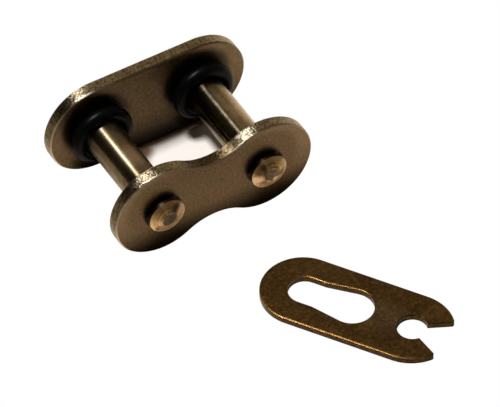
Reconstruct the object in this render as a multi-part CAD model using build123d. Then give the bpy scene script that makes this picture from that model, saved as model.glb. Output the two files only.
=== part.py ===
from build123d import *
from math import asin, atan2, degrees, radians, sqrt, tan
import os

# Connecting link of a sealed roller chain, laid out as it is fitted by hand: the back plate
# carries its two fixed pins and their sealing rings, the cover plate sits loose on the pins'
# ends, and the spring clip that will lock it lies flat in front. Sizes are in millimetres.
#
# X runs along the chain, Z is up, and the pins point along -Y, towards the cover plate. The
# link stands on the lower edges of its plates. The origin is the middle of the back plate's
# lower edge. Stations along the pins are measured from the back plate's middle to the cover.

# ---- driving dimensions ----
pitch = 15.875  # between the pins, 5/8 inch

plate_end_radius = 7.3  # round ends of both plates, so half of their height
plate_thickness = 1.9
plate_edge_break = 0.2  # tumbled edges of the stamped plates
waist_half_height = 5.0  # half of the cover plate's height, midway between the pins
assembled_gap = 15.45  # between the plates with the cover pushed home
cover_creep = 0.55  # how far the unlocked cover has crept out again
cover_bore_clearance = 0.05  # radial, so that the cover slides on the pins
cover_bore_lead_in = 0.2  # chamfer behind, where the holes are offered up to the pins

pin_radius = 2.7
peen_spread = 0.35  # how far the pin's back end is spread into its countersink
peen_height = 0.4  # how far it stands out behind the back plate
peen_flat_radius = 2.2
groove_depth = 0.65
land_width = 0.48  # full-size collar between the groove and the nose
nose_height = 0.75
nose_flat_radius = 1.1

ring_section = 1.9  # thickness of the rubber
ring_section_flats = 24  # that stand for the round of the section
ring_play = 0.02  # radial, between a ring and the pin that it hugs
ring_stand_off = 0.4  # how far a ring has rolled away from the back plate

clip_thickness = 1.0
clip_half_width = 5.9
clip_end_wall = 3.85  # metal between the slot and the closed end
clip_edge_break = 0.1
clip_groove_play = 0.15  # by which the groove is wider than the clip is thick
seat_clearance = 0.25  # radial, between the slot's narrow end and the groove
seat_length = 2.3  # straight stretch of the narrow end
keyhole_clearance = 0.35  # radial, where the slot's round end passes over a pin
keyhole_distance = 7.0  # from the seat's centre to that of the round end
claw_clearance = 0.05  # radial, between the claw and the groove
claw_throat = 2.7  # between the corners that snap past the groove
mouth_angle = 30.0  # from the clip's long axis to each side of its mouth
shoulder_distance = 0.4  # from the claw's centre back to where the prongs start to curve
prong_radius = 6.3
horn_round = 0.3
prong_round = 0.4

clip_side = 3.95  # seat's centre, to the right of the link's middle
clip_distance = 15.28  # seat's centre, in front of the pins' noses
clip_turn = -56.0  # degrees, from the chain's direction to the clip's long axis

# ---- worked out from them ----
pin_places = {"left": -pitch / 2, "right": pitch / 2}
groove_radius = pin_radius - groove_depth
groove_width = clip_thickness + clip_groove_play

back_plate_rear = -plate_thickness / 2
back_plate_front = plate_thickness / 2
cover_home_rear = back_plate_front + assembled_gap
groove_start = cover_home_rear + plate_thickness
groove_end = groove_start + groove_width
land_end = groove_end + land_width
nose_end = land_end + nose_height

# Turns a piece drawn on XY, with its stations along Z, so that it stands facing -Y with the
# pins' axes at their height above the surface.
stand = Pos(Z=plate_end_radius) * Rot(X=90)


def straight_outline():
    """Round ends joined by straight edges."""
    return SlotCenterToCenter(pitch, 2 * plate_end_radius)


def waisted_outline():
    """Round lobes joined by two concave arcs that run into them without a corner."""
    half_pitch = pitch / 2
    reach = half_pitch**2 + waist_half_height**2 - plate_end_radius**2
    waist_radius = reach / (2 * (plate_end_radius - waist_half_height))
    waist_centre = waist_half_height + waist_radius
    lean = degrees(atan2(waist_centre, half_pitch))
    lobe_sweep = 2 * (180 - lean)
    waist_sweep = 180 - 2 * lean
    right_lobe = CenterArc((half_pitch, 0), plate_end_radius, lean - 180, lobe_sweep)
    left_lobe = CenterArc((-half_pitch, 0), plate_end_radius, lean, lobe_sweep)
    upper_waist = CenterArc((0, waist_centre), waist_radius, lean - 180, waist_sweep)
    lower_waist = CenterArc((0, -waist_centre), waist_radius, lean, waist_sweep)
    return make_face([right_lobe, upper_waist, left_lobe, lower_waist])


def link_plate(outline, rear):
    """A stamped plate with its sharp edges broken, from its rear station forwards."""
    plate = Pos(Z=rear) * extrude(outline, plate_thickness)
    rims = plate.faces().filter_by(Axis.Z).edges()
    return chamfer(rims, plate_edge_break)


def at_pins(piece):
    """The same piece, or cut, at both pins."""
    return [Pos(X=x) * piece for x in pin_places.values()]


def turned(stations):
    """A solid of revolution about the pin's axis, from its (radius, station) corners."""
    profile = make_face(Polyline(stations, close=True))
    return revolve(Plane.XZ * profile, Axis.Z)


def make_back_plate():
    """Both holes are countersunk behind, where the pins' ends are spread to hold them."""
    plate = link_plate(straight_outline(), back_plate_rear)
    hole = turned(
        [
            (0, back_plate_rear),
            (pin_radius + peen_spread, back_plate_rear),
            (pin_radius, back_plate_rear + peen_spread),
            (pin_radius, back_plate_front),
            (0, back_plate_front),
        ]
    )
    return plate - at_pins(hole)


def make_cover_plate():
    """Its holes run freely over the pins, and lead on to them from behind."""
    rear = cover_home_rear + cover_creep
    front = rear + plate_thickness
    plate = link_plate(waisted_outline(), rear)
    bore = pin_radius + cover_bore_clearance
    hole = turned(
        [
            (0, rear),
            (bore + cover_bore_lead_in, rear),
            (bore, rear + cover_bore_lead_in),
            (bore, front),
            (0, front),
        ]
    )
    return plate - at_pins(hole)


def make_pin():
    """Turned from bar, from its spread rear end past the clip's groove to its coned nose."""
    return turned(
        [
            (0, back_plate_rear - peen_height),
            (peen_flat_radius, back_plate_rear - peen_height),
            (pin_radius + peen_spread, back_plate_rear),
            (pin_radius, back_plate_rear + peen_spread),
            (pin_radius, groove_start),
            (groove_radius, groove_start),
            (groove_radius, groove_end),
            (pin_radius, groove_end),
            (pin_radius, land_end),
            (nose_flat_radius, nose_end),
            (0, nose_end),
        ]
    )


def make_ring():
    """A rubber ring that hugs its pin, just in front of the back plate."""
    section_radius = ring_section / 2
    section = RegularPolygon(
        section_radius,
        ring_section_flats,
        major_radius=False,
        rotation=180 / ring_section_flats,
    )
    middle_radius = pin_radius + ring_play + section_radius
    middle_station = back_plate_front + ring_stand_off + section_radius
    return revolve(Plane.XZ * Pos(middle_radius, middle_station) * section, Axis.Z)


def tapered_slot(near_radius, far_radius, length):
    """Two circles and the lines that touch both, with the near circle at the origin."""
    lean = degrees(asin((far_radius - near_radius) / length))
    near = CenterArc((0, 0), near_radius, 90 + lean, 180 - 2 * lean)
    far = CenterArc((length, 0), far_radius, -90 - lean, 180 + 2 * lean)
    return make_face([near, Line(near @ 1, far @ 0), far, Line(far @ 1, near @ 0)])


def clip_outline():
    """The clip on XY, with its seat's centre at the origin and its open end towards +X."""
    seat_radius = groove_radius + seat_clearance
    keyhole_radius = pin_radius + keyhole_clearance
    claw_radius = groove_radius + claw_clearance

    closed_end_x = clip_half_width - clip_end_wall - seat_radius
    shoulder_x = pitch - shoulder_distance
    shank_length = shoulder_x - closed_end_x
    shank = Pos(X=closed_end_x) * Rectangle(
        shank_length, 2 * clip_half_width, align=(Align.MIN, Align.CENTER)
    )
    closed_end = Pos(X=closed_end_x) * Circle(clip_half_width)
    curve_offset = prong_radius - clip_half_width
    upper_curve = Pos(shoulder_x, -curve_offset) * Circle(prong_radius)
    lower_curve = Pos(shoulder_x, curve_offset) * Circle(prong_radius)
    open_end = upper_curve & lower_curve

    narrow_end = tapered_slot(seat_radius, seat_radius, seat_length)
    round_end = tapered_slot(seat_radius, keyhole_radius, keyhole_distance - seat_length)
    slot = narrow_end + Pos(X=seat_length) * round_end

    claw = Pos(X=pitch) * Circle(claw_radius)
    corner_x = pitch + sqrt(claw_radius**2 - (claw_throat / 2) ** 2)
    apex_x = corner_x - claw_throat / 2 / tan(radians(mouth_angle))
    mouth_length = 2 * clip_half_width
    mouth_half_width = mouth_length * tan(radians(mouth_angle))
    mouth = Pos(X=apex_x) * make_face(
        Polyline(
            (0, 0),
            (mouth_length, mouth_half_width),
            (mouth_length, -mouth_half_width),
            close=True,
        )
    )
    blank = closed_end + shank + open_end - slot - claw - mouth
    corners = blank.vertices().filter_by(lambda corner: corner.X > pitch)
    horns = corners.sort_by(Axis.X)[:2]
    tips = corners.sort_by(Axis.X)[-2:]
    blank = fillet(horns, horn_round)
    return fillet(tips, prong_round)


def make_clip():
    """Stamped from spring strip and lying flat, in front of the link."""
    clip = extrude(clip_outline(), clip_thickness)
    clip = chamfer(clip.faces().filter_by(Axis.Z).edges(), clip_edge_break)
    return Pos(clip_side, -nose_end - clip_distance) * Rot(Z=clip_turn) * clip


os.makedirs("parts", exist_ok=True)
pieces = {
    "back_plate": stand * make_back_plate(),
    "cover_plate": stand * make_cover_plate(),
    "spring_clip": make_clip(),
}
for side, x in pin_places.items():
    pieces[f"{side}_pin"] = stand * Pos(X=x) * make_pin()
    pieces[f"{side}_o_ring"] = stand * Pos(X=x) * make_ring()

for name, piece in pieces.items():
    export_step(piece, f"parts/{name}.step")
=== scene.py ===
from math import cos, radians, sin, tau

import bpy
import numpy as np
from mathutils import Matrix, Vector


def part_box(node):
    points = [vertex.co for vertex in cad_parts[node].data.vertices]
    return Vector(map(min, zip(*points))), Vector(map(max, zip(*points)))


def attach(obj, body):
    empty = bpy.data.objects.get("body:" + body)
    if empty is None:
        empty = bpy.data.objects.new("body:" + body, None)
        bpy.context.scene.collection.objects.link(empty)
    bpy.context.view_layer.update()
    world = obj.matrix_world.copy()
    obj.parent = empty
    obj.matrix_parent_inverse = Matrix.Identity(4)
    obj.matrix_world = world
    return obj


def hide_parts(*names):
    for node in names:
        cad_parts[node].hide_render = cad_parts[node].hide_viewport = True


# Lengths are in metres. X runs along the chain, Y along the pins from the cover plate to the back
# plate, and Z up from the surface that the link stands on.
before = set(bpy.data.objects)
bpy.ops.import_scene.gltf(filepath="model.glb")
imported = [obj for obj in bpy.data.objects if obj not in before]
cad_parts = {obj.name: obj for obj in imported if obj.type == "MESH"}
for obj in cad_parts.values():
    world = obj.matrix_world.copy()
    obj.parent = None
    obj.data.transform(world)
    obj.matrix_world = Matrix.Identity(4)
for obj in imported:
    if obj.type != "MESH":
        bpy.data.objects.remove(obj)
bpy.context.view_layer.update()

# ---- back plate and cover plate ----
# Both are stamped from steel strip, tumbled, and plated a dull brown that is worn to bare metal
# along the edges. The back plate is peened on to the pins, with painted shade round their roots;
# the cover plate only slides on their ends.


class Nodes:
    """Writes a node tree from its first node to its last, one call for each node."""

    def __init__(self, tree):
        self.tree = tree
        tree.nodes.clear()

    def add(self, kind, inputs=None, output=0, **settings):
        """Gives the new node's numbered or named output, or the node itself for None."""
        node = self.tree.nodes.new(kind)
        for name, value in settings.items():
            setattr(node, name, value)
        for name, value in (inputs or {}).items():
            if isinstance(value, bpy.types.NodeSocket):
                self.tree.links.new(value, node.inputs[name])
            else:
                node.inputs[name].default_value = value
        return node if output is None else node.outputs[output]

    def math(self, operation, first, second=0.0, third=0.0):
        return self.add("ShaderNodeMath", {0: first, 1: second, 2: third}, operation=operation)

    def times(self, first, *others):
        """The product of all that it is given."""
        for other in others:
            first = self.math("MULTIPLY", first, other)
        return first

    def apart(self, value, other):
        """How far a value lies from another, whichever is larger."""
        return self.math("ABSOLUTE", self.math("SUBTRACT", value, other))

    def fit(self, value, low, high, to_low=0.0, to_high=1.0, smooth=False):
        """Carries low..high on to to_low..to_high, and goes no further at either end."""
        kind = "SMOOTHSTEP" if smooth else "LINEAR"
        inputs = {"Value": value, 1: low, 2: high, 3: to_low, 4: to_high}
        return self.add("ShaderNodeMapRange", inputs, interpolation_type=kind)

    def blend(self, factor, first, second, mode="MIX"):
        inputs = {0: factor, 6: first, 7: second}
        return self.add("ShaderNodeMix", inputs, 2, data_type="RGBA", blend_type=mode)

    def layers(self, colour, *films):
        """Lays films over a colour, from the lowest up, each given by its share and colour."""
        for share, film_colour in films:
            colour = self.blend(share, colour, film_colour)
        return colour

    def place(self):
        return self.add("ShaderNodeTexCoord", output="Object")

    def normal(self):
        return self.add("ShaderNodeTexCoord", output="Normal")

    def split(self, vector):
        return self.add("ShaderNodeSeparateXYZ", {0: vector}, None).outputs

    def join(self, x=0.0, y=0.0, z=0.0):
        return self.add("ShaderNodeCombineXYZ", {0: x, 1: y, 2: z})

    def stretched(self, vector, scale):
        return self.add("ShaderNodeMapping", {"Vector": vector, "Scale": scale})

    def vector_math(self, operation, first, second=(0.0, 0.0, 0.0)):
        """For the operations that give a number."""
        inputs = {0: first, 1: second}
        return self.add("ShaderNodeVectorMath", inputs, "Value", operation=operation)

    def noise(self, vector, scale, detail, roughness):
        inputs = {"Vector": vector, "Scale": scale, "Detail": detail, "Roughness": roughness}
        return self.add("ShaderNodeTexNoise", inputs)

    def rounded(self, radius, samples):
        """The normals of a piece whose corners have that radius."""
        return self.add("ShaderNodeBevel", {"Radius": radius}, samples=samples)

    def bump(self, height, distance, normal=None):
        inputs = {"Height": height, "Distance": distance}
        if normal is not None:
            inputs["Normal"] = normal
        return self.add("ShaderNodeBump", inputs)

    def effect(self, group, **inputs):
        """Places a shared effect and gives its outputs, which go by name."""
        inputs = {name.replace("_", " "): value for name, value in inputs.items()}
        return self.add("ShaderNodeGroup", inputs, None, node_tree=group).outputs

    def surface(self, **inputs):
        """Ends a material's tree in its shader, whose inputs go by name."""
        inputs = {name.replace("_", " "): value for name, value in inputs.items()}
        shader = self.add("ShaderNodeBsdfPrincipled", inputs)
        self.add("ShaderNodeOutputMaterial", {0: shader}, None)


def finish(name):
    """A new material, and the means to write its nodes."""
    material = bpy.data.materials.new(name)
    material.use_nodes = True
    return material, Nodes(material.node_tree)


def shared_effect(name, takes, gives):
    """A new node group, the means to write its nodes, and the sockets that it takes."""
    group = bpy.data.node_groups.new(name, "ShaderNodeTree")
    for way, sockets in (("INPUT", takes), ("OUTPUT", gives)):
        for socket, kind in sockets.items():
            group.interface.new_socket(socket, in_out=way, socket_type=f"NodeSocket{kind}")
    nodes = Nodes(group)
    return group, nodes, nodes.add("NodeGroupInput", output=None).outputs


def dress(piece, material):
    """Gives a piece of the link its finish."""
    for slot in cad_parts[piece].material_slots:
        slot.material = material


# Steel under a patchy film, such as plating, tarnish or heat colour: broad clouds between two
# tones, with bright and dark flecks on them. Flecks run from their start to their end, which
# are measured from the noise's middle value.
mottled_steel, nodes, given = shared_effect(
    "mottled_steel",
    {
        "Place": "Vector",
        "Cloud Scale": "Float",
        "Cloud Low": "Color",
        "Cloud High": "Color",
        "Fleck Scale": "Float",
        "Fleck Start": "Float",
        "Fleck End": "Float",
        "Bright Fleck": "Color",
        "Bright Share": "Float",
        "Dark Fleck": "Color",
        "Dark Share": "Float",
    },
    {"Colour": "Color", "Cloud": "Float", "Fleck": "Float"},
)
cloud = nodes.noise(given["Place"], given["Cloud Scale"], 5.0, 0.65)
fleck = nodes.noise(given["Place"], given["Fleck Scale"], 4.0, 0.65)
colour = nodes.blend(nodes.fit(cloud, 0.35, 0.65), given["Cloud Low"], given["Cloud High"])
for share, tone, from_middle in (
    ("Bright Share", "Bright Fleck", nodes.math("SUBTRACT", fleck, 0.5)),
    ("Dark Share", "Dark Fleck", nodes.math("SUBTRACT", 0.5, fleck)),
):
    spread = nodes.fit(from_middle, given["Fleck Start"], given["Fleck End"], 0.0, given[share])
    colour = nodes.blend(spread, colour, given[tone])
nodes.add("NodeGroupOutput", {"Colour": colour, "Cloud": cloud, "Fleck": fleck}, None)

# The flat faces of a stamped piece, and the broken corners round them, told apart from its
# walls by how far the surface faces across the sheet.
stamped_sheet, nodes, given = shared_effect(
    "stamped_sheet",
    {"Normal": "Vector", "Across": "Vector"},
    {"Face": "Float", "Rim": "Float"},
)
facing = nodes.math("ABSOLUTE", nodes.vector_math("DOT_PRODUCT", given["Normal"], given["Across"]))
rim = nodes.times(nodes.fit(facing, 0.4, 0.6), nodes.fit(facing, 0.95, 0.8))
nodes.add("NodeGroupOutput", {"Face": nodes.fit(facing, 0.8, 0.95), "Rim": rim}, None)

# A soft round patch, such as a smear or a painted dark halo, at its full share within the core.
patch, nodes, given = shared_effect(
    "patch",
    {"Place": "Vector", "Centre": "Vector", "Reach": "Float", "Core": "Float", "Share": "Float"},
    {"Mask": "Float"},
)
distance = nodes.vector_math("DISTANCE", given["Place"], given["Centre"])
mask = nodes.fit(distance, given["Reach"], given["Core"], 0.0, given["Share"], smooth=True)
nodes.add("NodeGroupOutput", {"Mask": mask}, None)


def patch_at(nodes, place, centre, reach, core, share):
    """Places one patch in a material, and gives its mask."""
    values = {"Place": place, "Centre": centre, "Reach": reach, "Core": core, "Share": share}
    return nodes.effect(patch, **values)["Mask"]


pin_low, pin_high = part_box("right_pin")
pin_centre = (pin_low + pin_high) / 2
between_plates = (-0.010, -0.005)  # of Y, with the cover plate before it and the back plate after

plate_steel, nodes = finish("plate_steel")
place = nodes.place()
normal = nodes.normal()
x, y, z = nodes.split(place)
normal_x = nodes.split(normal)[0]
along = nodes.math("ABSOLUTE", x)
on_back = nodes.fit(y, *between_plates)
on_cover = nodes.fit(y, *reversed(between_plates))
inner_face = nodes.times(on_back, nodes.fit(y, 0.0003, -0.0003))
sheet = nodes.effect(stamped_sheet, Normal=normal, Across=(0, 1, 0))

# The plated faces are pitted and spattered. Painted shade darkens both towards the foot, the back
# plate's inner one most, and a painted dark halo of shade and reflection lies round both pins on
# it. Both plates are paler towards their upper outer ends.
plating = nodes.effect(
    mottled_steel,
    Place=place,
    Cloud_Scale=450.0,
    Cloud_Low=(0.118, 0.066, 0.037, 1),
    Cloud_High=(0.094, 0.069, 0.025, 1),
    Fleck_Scale=2600.0,
    Fleck_Start=0.0,
    Fleck_End=0.12,
    Bright_Fleck=(0.155, 0.085, 0.058, 1),
    Bright_Share=0.8,
    Dark_Fleck=(0.072, 0.056, 0.02, 1),
    Dark_Share=0.8,
)
pits = nodes.fit(nodes.noise(place, 1400.0, 2.0, 0.6), 0.72, 0.76)
spatter = patch_at(nodes, place, (0.0012, -0.0188, 0.0085), 0.0003, 0.0001, 0.7)
# Painted shade: the back plate's inner face darkens towards its foot, most between the pins.
inner_foot_shade = nodes.times(
    nodes.fit(z, 0.0015, 0.006, 0.85, 0.15), nodes.fit(along, 0.011, 0.006), inner_face
)
# Painted shade and reflection: a dark halo round each pin stands in for the rings' shade and their
# mirror image in the face.
either_half = nodes.join(nodes.apart(x, -0.0003), 0.0, z)
halo_centre = (pin_centre.x, 0.0, pin_centre.z + 0.0012)
painted_darkening = patch_at(nodes, either_half, halo_centre, 0.0058, 0.0046, 0.75)
around_pin = patch_at(nodes, either_half, halo_centre, 0.0062, 0.0045, 1.0)
# Both plates' faces are paler towards their upper outer ends, away from the pins.
paler_outer_ends = nodes.times(
    nodes.fit(along, 0.004, 0.008),
    nodes.math("SUBTRACT", 1.0, around_pin),
    nodes.fit(z, 0.004, 0.009),
    nodes.fit(y, *between_plates, 0.3, 0.16),
)
face_colour = nodes.layers(
    plating["Colour"],
    (pits, (0.03, 0.02, 0.01, 1)),
    (spatter, (0.02, 0.028, 0.008, 1)),
    (inner_foot_shade, (0.01, 0.007, 0.004, 1)),
    (nodes.times(painted_darkening, inner_face), (0.008, 0.006, 0.004, 1)),
    (paler_outer_ends, (0.3, 0.21, 0.13, 1)),
)
# Painted shade: both plates' faces darken towards the foot.
height = nodes.math("ADD", z, nodes.fit(y, *between_plates, 0.0, 0.002))
foot_shade = nodes.fit(height, 0.0012, 0.0052, 0.3, 1.0)
face_colour = nodes.blend(1.0, face_colour, foot_shade, "MULTIPLY")

# The sheared walls and their broken corners are worn through to speckled bare steel. A painted
# highlight makes them brightest on the left shoulders and on corners that face left, and painted
# shade makes them nearly black in the cover plate's waist.
flakes = nodes.noise(nodes.stretched(place, (1.0, 0.65, 1.0)), 3400.0, 2.5, 0.6)
wall_colour = nodes.blend(
    nodes.fit(flakes, 0.38, 0.62), (0.16, 0.115, 0.06, 1), (0.42, 0.335, 0.205, 1)
)
off_waist = nodes.fit(along, 0.0022, 0.0042)
# Painted highlight: the walls' speckles are paler where they turn about 17 degrees to the left,
# towards the lamp, and less so on the left half.
shoulder_glint = nodes.times(nodes.fit(nodes.apart(normal_x, -0.3), 0.3, 0.15), off_waist, 0.9)
glint_flake = nodes.blend(
    nodes.fit(x, 0.0, 0.004), (0.27, 0.23, 0.165, 1), (0.43, 0.385, 0.3, 1)
)
shoulder_glint_colour = nodes.blend(
    nodes.fit(flakes, 0.44, 0.55), (0.08, 0.058, 0.03, 1), glint_flake
)
# Painted shade: the walls in the cover plate's waist are nearly black.
waist_shade = nodes.times(nodes.fit(along, 0.0054, 0.0036), on_cover, 0.92)
waist_shade_colour = nodes.blend(
    nodes.fit(flakes, 0.42, 0.58), (0.036, 0.023, 0.01, 1), (0.12, 0.08, 0.04, 1)
)
# Painted highlight: broken corners that face left are paler.
plate_rim_highlight = nodes.times(nodes.fit(normal_x, -0.02, -0.15), off_waist)
dull_rim_colour = nodes.blend(on_back, (0.26, 0.2, 0.12, 1), (0.12, 0.09, 0.05, 1))
rim_colour = nodes.blend(plate_rim_highlight, dull_rim_colour, (0.6, 0.52, 0.38, 1))
wall_colour = nodes.layers(
    wall_colour,
    (shoulder_glint, shoulder_glint_colour),
    (waist_shade, waist_shade_colour),
    (nodes.times(sheet["Rim"], 0.8), rim_colour),
)

# The shear leaves its marks across the walls, and the faces have no grain.
shear_marks = nodes.fit(nodes.math("ABSOLUTE", nodes.split(normal)[1]), 0.8, 0.95, 0.9, 0.0)
peel = nodes.times(plating["Fleck"], 0.067)
relief = nodes.fit(sheet["Face"], 0.0, 1.0, flakes, peel)
nodes.surface(
    Base_Color=nodes.blend(sheet["Face"], wall_colour, face_colour),
    Metallic=1.0,
    Roughness=nodes.fit(sheet["Face"], 0.0, 1.0, 0.33, 0.36),
    Anisotropic=shear_marks,
    Anisotropic_Rotation=0.25,
    Tangent=nodes.add("ShaderNodeTangent", direction_type="RADIAL", axis="Y"),
    Normal=nodes.bump(relief, 0.00006, nodes.rounded(0.0003, 4)),
)
dress("back_plate", plate_steel)
dress("cover_plate", plate_steel)

# ---- pins ----
# Turned from steel bar and ground along the shank, with a groove and a coned nose at the free
# end. The other end is spread into the back plate. Rust marks the shanks, painted shade darkens
# them, and heat has coloured the noses gold.
pin_radius = 0.0027
nose_start = pin_low.y + 0.00075
collar_start = nose_start + 0.00048
groove_start = collar_start + 0.00115

pin_steel, nodes = finish("pin_steel")
place = nodes.place()
x, y, z = nodes.split(place)
on_right = nodes.fit(x, -0.001, 0.001)
beside = nodes.math("SUBTRACT", x, nodes.fit(on_right, 0.0, 1.0, -pin_centre.x, pin_centre.x))
above = nodes.math("SUBTRACT", z, pin_centre.z)
radius = nodes.vector_math("LENGTH", nodes.join(beside, 0.0, above))
nose = nodes.fit(y, nose_start + 0.00003, nose_start - 0.00002)
collar = nodes.times(
    nodes.fit(y, collar_start + 0.00005, collar_start + 0.00001),
    nodes.fit(y, nose_start - 0.00003, nose_start + 0.00003),
)
groove = nodes.times(
    nodes.fit(radius, pin_radius - 0.00002, pin_radius - 0.00008),
    nodes.fit(y, collar_start - 0.00007, collar_start - 0.00001),
    nodes.fit(y, groove_start + 0.0008, groove_start + 0.0001),
)

# The ground shank has painted shade towards the back plate, and rust by the cover plate. A painted
# dark reflection lies on the left pin's right side, a painted dark line dims the highlight along
# the top of both, and painted shade darkens the right pin's lower sides and both undersides.
shank = nodes.effect(
    mottled_steel,
    Place=nodes.stretched(place, (1.6, 1.0, 1.6)),
    Cloud_Scale=900.0,
    Cloud_Low=(0.33, 0.25, 0.15, 1),
    Cloud_High=(0.5, 0.39, 0.24, 1),
    Fleck_Scale=1375.0,
    Fleck_Start=0.08,
    Fleck_End=0.18,
    Bright_Fleck=(0.55, 0.44, 0.28, 1),
    Bright_Share=0.15,
    Dark_Fleck=(0.17, 0.085, 0.04, 1),
    Dark_Share=0.7,
)
cloud = shank["Cloud"]
# Painted shade: the shank darkens towards the back plate.
root_shade = nodes.math(
    "MAXIMUM", nodes.fit(y, -0.003, -0.009, 0.55, 1.0), nodes.fit(y, 0.0, 0.0005)
)
rust = nodes.times(
    nodes.fit(above, 0.0016, 0.0024),
    nodes.fit(y, -0.0105, -0.013),
    nodes.fit(on_right, 0.0, 1.0, 0.5, 0.3),
)
# Painted reflection: the left pin's right side is darkened, standing in for the dark things it
# mirrors.
painted_dark_reflection = nodes.times(
    nodes.fit(x, -0.0072, -0.006),
    nodes.fit(x, 0.001, -0.001),
    nodes.fit(y, -0.0125, -0.0105),
    nodes.fit(y, 0.0, -0.001),
    0.85,
)
bloom = patch_at(nodes, place, (-0.0070, -0.0100, 0.0098), 0.0028, 0.001, 0.4)
# Painted shade: a dark line along the top of each pin dims the lamp's highlight.
stripe_dimming = nodes.fit(nodes.apart(beside, -0.00095), 0.0006, 0.0003, 0.0, 0.55)
# Painted shade: the right pin's lower sides are darkened, most towards the back plate.
painted_darkening = nodes.times(
    on_right, nodes.fit(above, 0.0020, 0.0013), nodes.fit(y, -0.0125, -0.0045, 0.0, 0.6)
)
# Painted shade: both pins are nearly black underneath.
underside_shade = nodes.times(nodes.fit(above, 0.0008, 0.0), nodes.fit(y, -0.014, -0.006, 0.4, 0.95))
shank_colour = nodes.layers(
    nodes.blend(1.0, shank["Colour"], root_shade, "MULTIPLY"),
    (rust, (0.11, 0.06, 0.022, 1)),
    (painted_dark_reflection, (0.04, 0.028, 0.012, 1)),
    (bloom, (0.8, 0.55, 0.4, 1)),
    (stripe_dimming, (0.1, 0.088, 0.062, 1)),
    (painted_darkening, (0.03, 0.028, 0.014, 1)),
    (underside_shade, (0.02, 0.013, 0.007, 1)),
)

# The coned nose shows the tool's turning marks, a darker upper side, a painted highlight round its
# outer edge, a bruised flat and light and dark smears.
turning = nodes.noise(nodes.join(radius), 3600.0, 3.0, 0.6)
turned_colour = nodes.blend(
    nodes.fit(turning, 0.4, 0.6), (0.3, 0.165, 0.06, 1), (0.72, 0.47, 0.22, 1)
)
blotch = nodes.noise(place, 750.0, 3.0, 0.6)
bright_blotch = nodes.fit(blotch, 0.52, 0.62, 0.0, 0.6)
dark_blotch = nodes.fit(blotch, 0.47, 0.37, 0.0, 0.8)
# Painted highlight: the nose is paler round its outer edge.
nose_rim_highlight = nodes.fit(radius, pin_radius - 0.00025, pin_radius - 0.0001, 0.0, 0.5)
# The nose is darker on its upper side.
upper_darkening = nodes.fit(nodes.math("MULTIPLY_ADD", cloud, 0.0016, above), 0.0, 0.0026, 0.0, 0.85)
flat = nodes.fit(nodes.math("MULTIPLY_ADD", cloud, 0.0008, radius), 0.0016, 0.0014)
flat_colour = nodes.blend(
    nodes.fit(cloud, 0.4, 0.6), (0.045, 0.03, 0.017, 1), (0.12, 0.083, 0.05, 1)
)
nose_colour = nodes.layers(
    turned_colour,
    (bright_blotch, (0.6, 0.38, 0.25, 1)),
    (dark_blotch, (0.12, 0.06, 0.025, 1)),
    (nose_rim_highlight, (0.9, 0.68, 0.42, 1)),
    (upper_darkening, (0.09, 0.055, 0.022, 1)),
    (flat, flat_colour),
)
end_on = nodes.join(x, 0.0, z)
for smear_x, smear_z, reach, share, smear_colour in (
    (0.0064, 0.0084, 0.0012, 0.75, (0.09, 0.065, 0.025, 1)),
    (0.0069, 0.0089, 0.0007, 0.65, (0.03, 0.024, 0.008, 1)),
    (0.0058, 0.0069, 0.0010, 0.8, (0.6, 0.42, 0.26, 1)),
    (0.0068, 0.0063, 0.0007, 0.85, (0.2, 0.075, 0.045, 1)),
    (-0.0068, 0.0086, 0.0010, 0.95, (0.03, 0.017, 0.008, 1)),
    (-0.0061, 0.0078, 0.0010, 0.6, (0.3, 0.2, 0.13, 1)),
    (0.0085, 0.0063, 0.0006, 0.7, (0.8, 0.66, 0.48, 1)),
    (-0.0078, 0.0073, 0.0013, 0.6, (0.035, 0.016, 0.01, 1)),
):
    smear = patch_at(nodes, end_on, (smear_x, 0.0, smear_z), reach, 0.3 * reach, share)
    nose_colour = nodes.blend(smear, nose_colour, smear_colour)

# The right pin is polished brighter than the left, which dulls towards the back plate.
left_roughness = nodes.fit(
    nodes.math("MULTIPLY_ADD", cloud, 0.004, y), -0.012, -0.003, 0.28, 0.33
)
right_roughness = nodes.fit(cloud, 0.35, 0.65, 0.16, 0.19)
shank_roughness = nodes.fit(on_right, 0.0, 1.0, left_roughness, right_roughness)
roughness = nodes.fit(nose, 0.0, 1.0, shank_roughness, 0.33)
burr = nodes.fit(nodes.apart(radius, 0.0012), 0.00015, 0.0, smooth=True)
rounding = nodes.fit(y, -0.019, -0.0185, 0.0, 0.00015)
# Painted shade: the collar and the groove behind it are nearly black.
collar_shade_colour = nodes.blend(on_right, (0.06, 0.04, 0.022, 1), (0.035, 0.02, 0.009, 1))
nodes.surface(
    Base_Color=nodes.layers(
        shank_colour,
        (nose, nose_colour),
        (collar, collar_shade_colour),
        (groove, (0.012, 0.009, 0.005, 1)),
    ),
    Metallic=1.0,
    Roughness=nodes.fit(collar, 0.0, 1.0, roughness, 0.55),
    Anisotropic=0.9,
    Anisotropic_Rotation=0.25,
    Tangent=nodes.add("ShaderNodeTangent", direction_type="RADIAL", axis="Y"),
    Normal=nodes.bump(nodes.math("ADD", burr, turning), 0.00003, nodes.rounded(rounding, 4)),
)
dress("left_pin", pin_steel)
dress("right_pin", pin_steel)

# ---- sealing rings ----
# Two rings moulded in black rubber, wet with grease, that seal the joints of the chain. Each is
# stretched over its pin and hugs it, just clear of the back plate.
ring_section_radius = 0.00095
turn_steps = 96
section_steps = 32

rubber, nodes = finish("black_rubber")
grain = nodes.noise(nodes.place(), 6000.0, 3.0, 0.6)
film = nodes.noise(nodes.place(), 700.0, 3.0, 0.6)
nodes.surface(
    Base_Color=nodes.blend(film, (0.0008, 0.0008, 0.0008, 1), (0.0016, 0.0016, 0.0016, 1)),
    Roughness=nodes.fit(film, 0.35, 0.65, 0.32, 0.4),
    Specular_IOR_Level=0.06,
    Normal=nodes.bump(grain, 0.000003),
)


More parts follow.
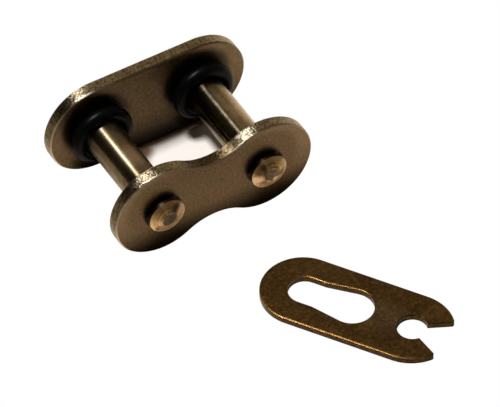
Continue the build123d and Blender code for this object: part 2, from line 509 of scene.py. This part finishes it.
def ring_surface(centre, middle_radius):
    """A round ring about an axis along Y, over a grid of two angles.

    One angle turns about the axis, and the other goes round the section. A point's distance
    from the axis is the middle radius plus the section's radius times the cosine of the second
    angle, and its station along the axis is the section's radius times the sine of it.
    """
    turn = np.linspace(0.0, tau, turn_steps, endpoint=False)[:, None]
    around = np.linspace(0.0, tau, section_steps, endpoint=False)[None, :]
    out = middle_radius + ring_section_radius * np.cos(around)
    station = ring_section_radius * np.sin(around)
    grid = np.broadcast_arrays(out * np.cos(turn), station, out * np.sin(turn))
    points = np.stack(grid, axis=-1).reshape(-1, 3) + np.array(centre)
    here = np.arange(turn_steps * section_steps).reshape(turn_steps, section_steps)
    onward = np.roll(here, -1, axis=1)
    quads = np.stack(
        [here, onward, np.roll(onward, -1, axis=0), np.roll(here, -1, axis=0)], axis=-1
    )
    return points, quads.reshape(-1, 4)


for side in ("left", "right"):
    low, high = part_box(f"{side}_o_ring")
    points, quads = ring_surface((low + high) / 2, (high.x - low.x) / 2 - ring_section_radius)
    ring_mesh = bpy.data.meshes.new(f"{side}_sealing_ring")
    ring_mesh.from_pydata(points.tolist(), [], quads.tolist())
    ring_mesh.shade_smooth()
    ring_mesh.materials.append(rubber)
    ring = bpy.data.objects.new(f"{side}_sealing_ring", ring_mesh)
    bpy.context.scene.collection.objects.link(ring)
    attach(ring, "pinned_plate")
    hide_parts(f"{side}_o_ring")

# ---- spring clip ----
# Stamped from spring strip, hardened and tempered to a dark bronze, and rubbed bright along its
# corners. It lies where it was put down, with its closed end towards the link.
clip_turn = radians(-56.0)  # from the chain's direction to the clip's long axis

clip_steel, nodes = finish("clip_steel")
place = nodes.place()
sheet = nodes.effect(stamped_sheet, Normal=nodes.normal(), Across=(0, 0, 1))
temper = nodes.effect(
    mottled_steel,
    Place=place,
    Cloud_Scale=500.0,
    Cloud_Low=(0.070, 0.036, 0.010, 1),
    Cloud_High=(0.112, 0.061, 0.018, 1),
    Fleck_Scale=2200.0,
    Fleck_Start=0.02,
    Fleck_End=0.17,
    Bright_Fleck=(0.18, 0.105, 0.042, 1),
    Bright_Share=0.35,
    Dark_Fleck=(0.04, 0.02, 0.007, 1),
    Dark_Share=0.35,
)
fleck = temper["Fleck"]
patchy = nodes.fit(temper["Cloud"], 0.3, 0.6, 0.4, 1.0)
face_colour = temper["Colour"]
for centre, reach, share, rubbed_colour in (
    ((0.0106, -0.0458, 0.001), 0.0042, 0.35, (0.19, 0.135, 0.08, 1)),
    ((0.0070, -0.0325, 0.001), 0.0060, 0.45, (0.15, 0.085, 0.03, 1)),
    ((0.0180, -0.0490, 0.001), 0.0030, 0.5, (0.15, 0.085, 0.03, 1)),
    ((0.0090, -0.0490, 0.001), 0.0030, 0.5, (0.05, 0.026, 0.008, 1)),
):
    rubbed = patch_at(nodes, place, centre, reach, 0.25 * reach, share)
    face_colour = nodes.blend(nodes.times(rubbed, patchy), face_colour, rubbed_colour)
wall_colour = nodes.blend(
    nodes.fit(fleck, 0.4, 0.6), (0.03, 0.017, 0.006, 1), (0.07, 0.038, 0.012, 1)
)
colour = nodes.blend(sheet["Face"], wall_colour, face_colour)

# The prongs' ends keep their scale, so their corners don't shine.
along = nodes.vector_math("DOT_PRODUCT", place, (cos(clip_turn), sin(clip_turn), 0.0))
aside = nodes.vector_math("DOT_PRODUCT", place, (-sin(clip_turn), cos(clip_turn), 0.0))
prongs = nodes.times(nodes.fit(aside, -0.0213, -0.0208), nodes.fit(along, 0.0385, 0.041))
worn_rim = nodes.times(sheet["Rim"], nodes.fit(prongs, 0.0, 1.0, 1.0, 0.15))
rounding = nodes.fit(prongs, 0.0, 1.0, 0.00035, 0.00005)
nodes.surface(
    Base_Color=nodes.blend(worn_rim, colour, (0.26, 0.145, 0.045, 1)),
    Metallic=1.0,
    Roughness=nodes.fit(fleck, 0.3, 0.7, 0.26, 0.4),
    Normal=nodes.bump(fleck, 0.00002, nodes.rounded(rounding, 6)),
)
dress("spring_clip", clip_steel)

# ---- paper ----
# The link stands on a sheet of white paper. Straight on, the paper is plain white, and between the
# plates it keeps its shade, with painted shade, warm and dark, by the back plate's foot and the
# left pin. The steel mirrors it as a painted reflection, dimmer and warmer, and dimmest on the
# left.
paper_reach = 3.0
paper_drop = 0.00001
paper_corners = np.array([(-1.0, -1.0), (1.0, -1.0), (1.0, 1.0), (-1.0, 1.0)]) * paper_reach
paper_points = np.column_stack([paper_corners, np.full(4, -paper_drop)])
paper_mesh = bpy.data.meshes.new("paper")
paper_mesh.from_pydata(paper_points.tolist(), [], [(0, 1, 2, 3)])
paper = bpy.data.objects.new("paper", paper_mesh)
bpy.context.scene.collection.objects.link(paper)

white_paper, nodes = finish("white_paper")
place = nodes.place()
x, y, _ = nodes.split(place)
beside = nodes.apart(x, 0.0035)
beyond = nodes.apart(y, -0.005)
outside_link = nodes.math(
    "MAXIMUM",
    nodes.fit(beside, 0.0075, 0.0095, smooth=True),
    nodes.fit(beyond, 0.0075, 0.0095, smooth=True),
)
far_off = nodes.math(
    "MAXIMUM",
    nodes.fit(beside, 0.04, 0.06, smooth=True),
    nodes.fit(beyond, 0.05, 0.07, smooth=True),
)
light_path = nodes.add("ShaderNodeLightPath", output=None).outputs
by_eye = light_path["Is Camera Ray"]
by_piece = nodes.math("MAXIMUM", light_path["Is Glossy Ray"], light_path["Is Transmission Ray"])
plain_white = nodes.math(
    "MAXIMUM", nodes.times(by_eye, outside_link), nodes.times(by_piece, far_off)
)
shaded_left = nodes.fit(x, -0.025, -0.012)
mirrored = nodes.blend(shaded_left, (0.2, 0.175, 0.135, 1), (0.9, 0.81, 0.69, 1))
mirrored = nodes.blend(1.0, mirrored, nodes.fit(outside_link, 0.0, 1.0, 0.65, 1.0), "MULTIPLY")
# Painted shade on the paper by the left pin and along the back plate's foot.
pin_shade = patch_at(nodes, place, (-0.0014, -0.0018, 0.0), 0.0022, 0.0006, 1.0)
foot_shade = nodes.times(nodes.fit(y, -0.0024, -0.0012, smooth=True), nodes.fit(y, 0.001, 0.0))
shade = nodes.math("MAXIMUM", pin_shade, foot_shade)
seen = nodes.blend(shade, (0.79, 0.74, 0.69, 1), (0.24, 0.15, 0.095, 1))
paper_colour = nodes.blend(by_eye, mirrored, seen)
lit = nodes.add("ShaderNodeBsdfDiffuse", {"Color": paper_colour})
far_colour = nodes.blend(nodes.fit(x, -0.03, 0.03), (0.3, 0.25, 0.18, 1), (0.95, 0.85, 0.7, 1))
plain_colour = nodes.blend(by_eye, far_colour, (1, 1, 1, 1))
plain = nodes.add("ShaderNodeEmission", {"Color": plain_colour, "Strength": 1.0})
both = nodes.add("ShaderNodeMixShader", {0: plain_white, 1: lit, 2: plain})
nodes.add("ShaderNodeOutputMaterial", {0: both}, None)
paper_mesh.materials.append(white_paper)

# ---- light ----
# One soft lamp stands high on the left, behind the link. The room is warm and dim behind it and
# on its right, dark on its left, and white along the horizon.
lamp_data = bpy.data.lights.new("lamp", "POINT")
lamp_data.energy = 2.15  # watts
lamp_data.shadow_soft_size = 0.019
lamp = bpy.data.objects.new("lamp", lamp_data)
lamp.location = (-0.050, 0.017, 0.200)
bpy.context.scene.collection.objects.link(lamp)

room = bpy.data.worlds.new("room")
bpy.context.scene.world = room
room.use_nodes = True
nodes = Nodes(room.node_tree)
x, y, z = nodes.split(nodes.add("ShaderNodeTexCoord", output="Generated"))
overhead = nodes.fit(z, 0.1, 0.6, smooth=True)
back_wall = nodes.blend(overhead, (0.8, 0.66, 0.48, 1), (0.3, 0.25, 0.18, 1))
behind = nodes.fit(y, 0.0, 0.4, smooth=True)
right_side = nodes.blend(behind, (0.2, 0.165, 0.12, 1), back_wall)
to_the_right = nodes.fit(x, -0.35, 0.2, smooth=True)
walls = nodes.blend(to_the_right, (0.02, 0.018, 0.012, 1), right_side)
horizon = nodes.fit(z, 0.01, 0.03, 1.0, 0.0)
room_colour = nodes.blend(horizon, walls, (1, 1, 1, 1))
background = nodes.add("ShaderNodeBackground", {"Color": room_colour, "Strength": 1.0})
nodes.add("ShaderNodeOutputWorld", {0: background}, None)

# ---- camera ----
# A long lens, from the left of the cover plate's front and well above, so that it looks in
# between the plates and down on to the clip.
camera_azimuth = -29.94  # degrees
camera_elevation = 46.95
camera_roll = -0.743
camera_distance = 1.0745  # metres
camera_aim = Vector((0.00272, -0.02367, 0.0073))

camera_data = bpy.data.cameras.new("camera")
camera_data.lens = 576.0  # millimetres
camera_data.sensor_width = 36.0
camera_data.clip_start = 0.01
camera_data.clip_end = 20.0
camera = bpy.data.objects.new("camera", camera_data)
camera.matrix_world = (
    Matrix.Translation(camera_aim)
    @ Matrix.Rotation(radians(camera_azimuth), 4, "Z")
    @ Matrix.Rotation(radians(90 - camera_elevation), 4, "X")
    @ Matrix.Rotation(radians(camera_roll), 4, "Z")
    @ Matrix.Translation((0, 0, camera_distance))
)
bpy.context.scene.collection.objects.link(camera)
bpy.context.scene.camera = camera
bpy.context.scene.view_settings.view_transform = "Standard"
